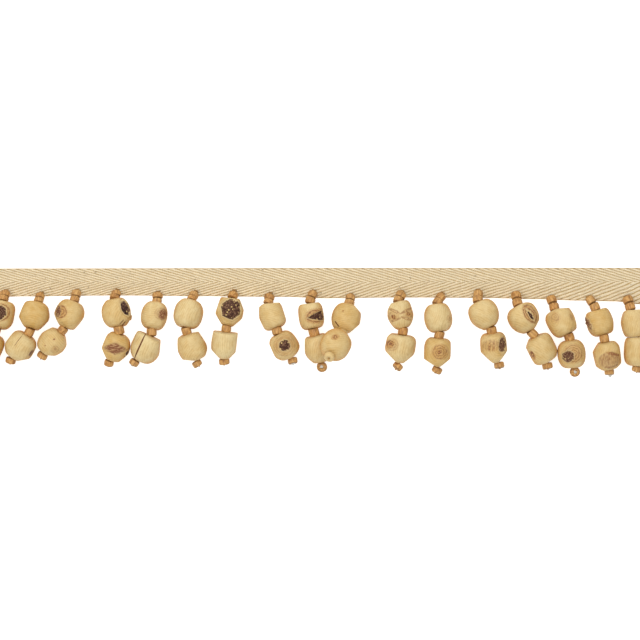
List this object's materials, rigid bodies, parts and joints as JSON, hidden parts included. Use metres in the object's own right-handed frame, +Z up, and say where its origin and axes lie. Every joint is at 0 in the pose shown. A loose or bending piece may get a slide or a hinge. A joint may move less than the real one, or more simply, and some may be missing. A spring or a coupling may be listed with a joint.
{
  "type": "beaded fringe trim",
  "caption": "Cut length of herringbone cotton tape with drops of large carved wood beads and small turned spacer beads, strung on thread and sewn along one edge.",
  "frame": {"origin": "middle of the tape's back face, on the surface the trim lies on", "axes": "+X along the tape, +Y toward the tape's plain edge, away from the drops, +Z up out of the tape's front"},
  "size_m": [0.374, 0.0591, 0.0289],
  "materials": {
    "tape_cotton": "matt herringbone twill weave",
    "bead_wood": "hand-carved pale wood with knots and bark, lightly polished",
    "spacer_wood": "turned orange-brown wood, satin"
  },
  "bodies": {
    "root": {"tape": "tape_cotton", "string_01": "spacer_wood", "string_02": "spacer_wood", "string_03": "spacer_wood", "string_04": "spacer_wood", "string_05": "spacer_wood", "string_06": "spacer_wood", "string_07": "spacer_wood", "string_08": "spacer_wood", "string_09": "spacer_wood", "string_10": "spacer_wood", "string_11": "spacer_wood", "string_12": "spacer_wood", "string_13": "spacer_wood", "string_14": "spacer_wood", "string_15": "spacer_wood", "string_16": "spacer_wood", "string_17": "spacer_wood", "bead_01_upper": "bead_wood", "bead_02_upper": "bead_wood", "bead_03_upper": "bead_wood", "bead_04_upper": "bead_wood", "bead_05_upper": "bead_wood", "bead_06_upper": "bead_wood", "bead_07_upper": "bead_wood", "bead_08_upper": "bead_wood", "bead_09_upper": "bead_wood", "bead_10_upper": "bead_wood", "bead_11_upper": "bead_wood", "bead_12_upper": "bead_wood", "bead_13_upper": "bead_wood", "bead_14_upper": "bead_wood", "bead_15_upper": "bead_wood", "bead_16_upper": "bead_wood", "bead_17_upper": "bead_wood", "bead_01_lower": "bead_wood", "bead_02_lower": "bead_wood", "bead_03_lower": "bead_wood", "bead_04_lower": "bead_wood", "bead_05_lower": "bead_wood", "bead_06_lower": "bead_wood", "bead_07_lower": "bead_wood", "bead_08_lower": "bead_wood", "bead_09_lower": "bead_wood", "bead_10_lower": "bead_wood", "bead_11_lower": "bead_wood", "bead_12_lower": "bead_wood", "bead_13_lower": "bead_wood", "bead_14_lower": "bead_wood", "bead_15_lower": "bead_wood", "bead_16_lower": "bead_wood", "bead_17_lower": "bead_wood"}
  },
  "joints": []
}
